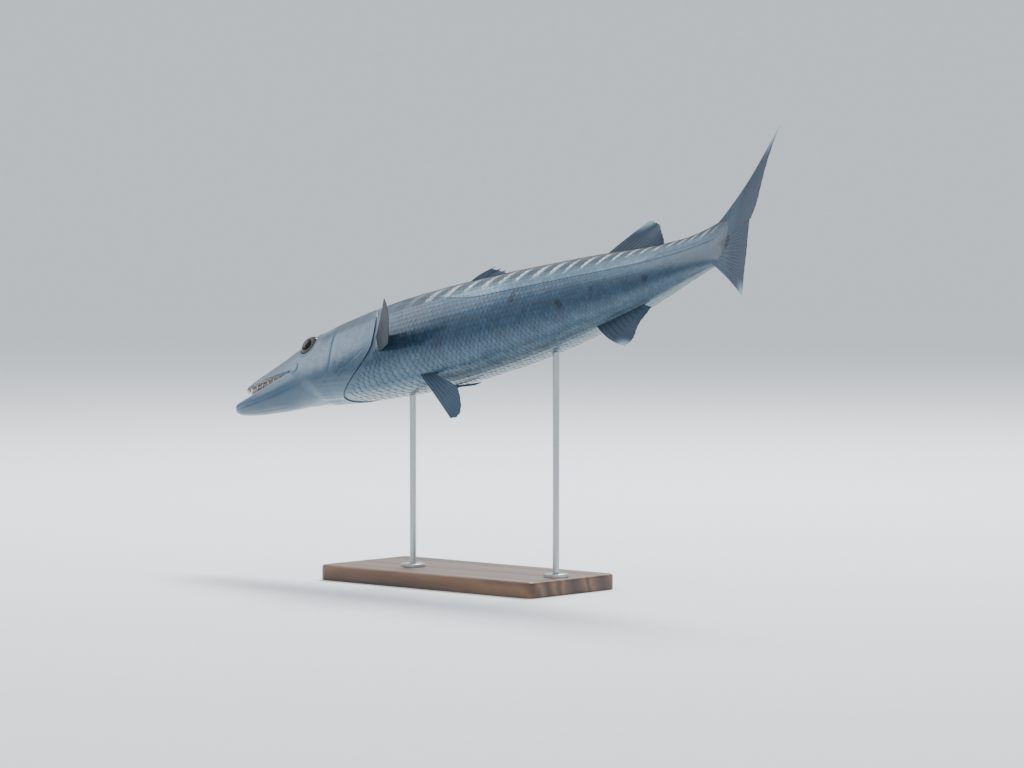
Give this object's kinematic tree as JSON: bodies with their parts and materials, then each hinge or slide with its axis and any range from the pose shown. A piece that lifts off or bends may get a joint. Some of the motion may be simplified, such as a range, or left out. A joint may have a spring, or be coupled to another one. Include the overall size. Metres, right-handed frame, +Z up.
{
  "type": "barracuda museum model",
  "caption": "Life-size still model of a slim predatory reef fish in a banked glide, jaws parted and tail swept, held by rods on a flat display base.",
  "frame": {"origin": "centre of the display base's underside, on the surface it stands on", "axes": "+Z up; the fish's head points to -X and its tail to +X, along the base's long side; the fish's own left side faces -Y, tipped upwards by the bank"},
  "size_m": [1.1164, 0.2456, 0.7025],
  "materials": {
    "flesh": "satin",
    "fin": "satin",
    "pale_fin": "satin",
    "eye": "gloss",
    "walnut": "satin varnish",
    "steel": "brushed"
  },
  "bodies": {
    "root": {"head": "flesh", "lower_jaw": "flesh", "trunk_front": "flesh", "trunk_rear": "flesh", "tail_stem": "flesh", "eye_left": "eye", "eye_right": "eye", "first_dorsal_fin": "fin", "second_dorsal_fin": "fin", "anal_fin": "fin", "tail_fin_upper": "fin", "tail_fin_lower": "fin", "pectoral_fin_left": "pale_fin", "pectoral_fin_right": "pale_fin", "pelvic_fin_left": "pale_fin", "pelvic_fin_right": "pale_fin", "stand_base": "walnut", "stand_foot_front": "steel", "stand_foot_rear": "steel", "stand_rod_front": "steel", "stand_rod_rear": "steel"}
  },
  "joints": []
}
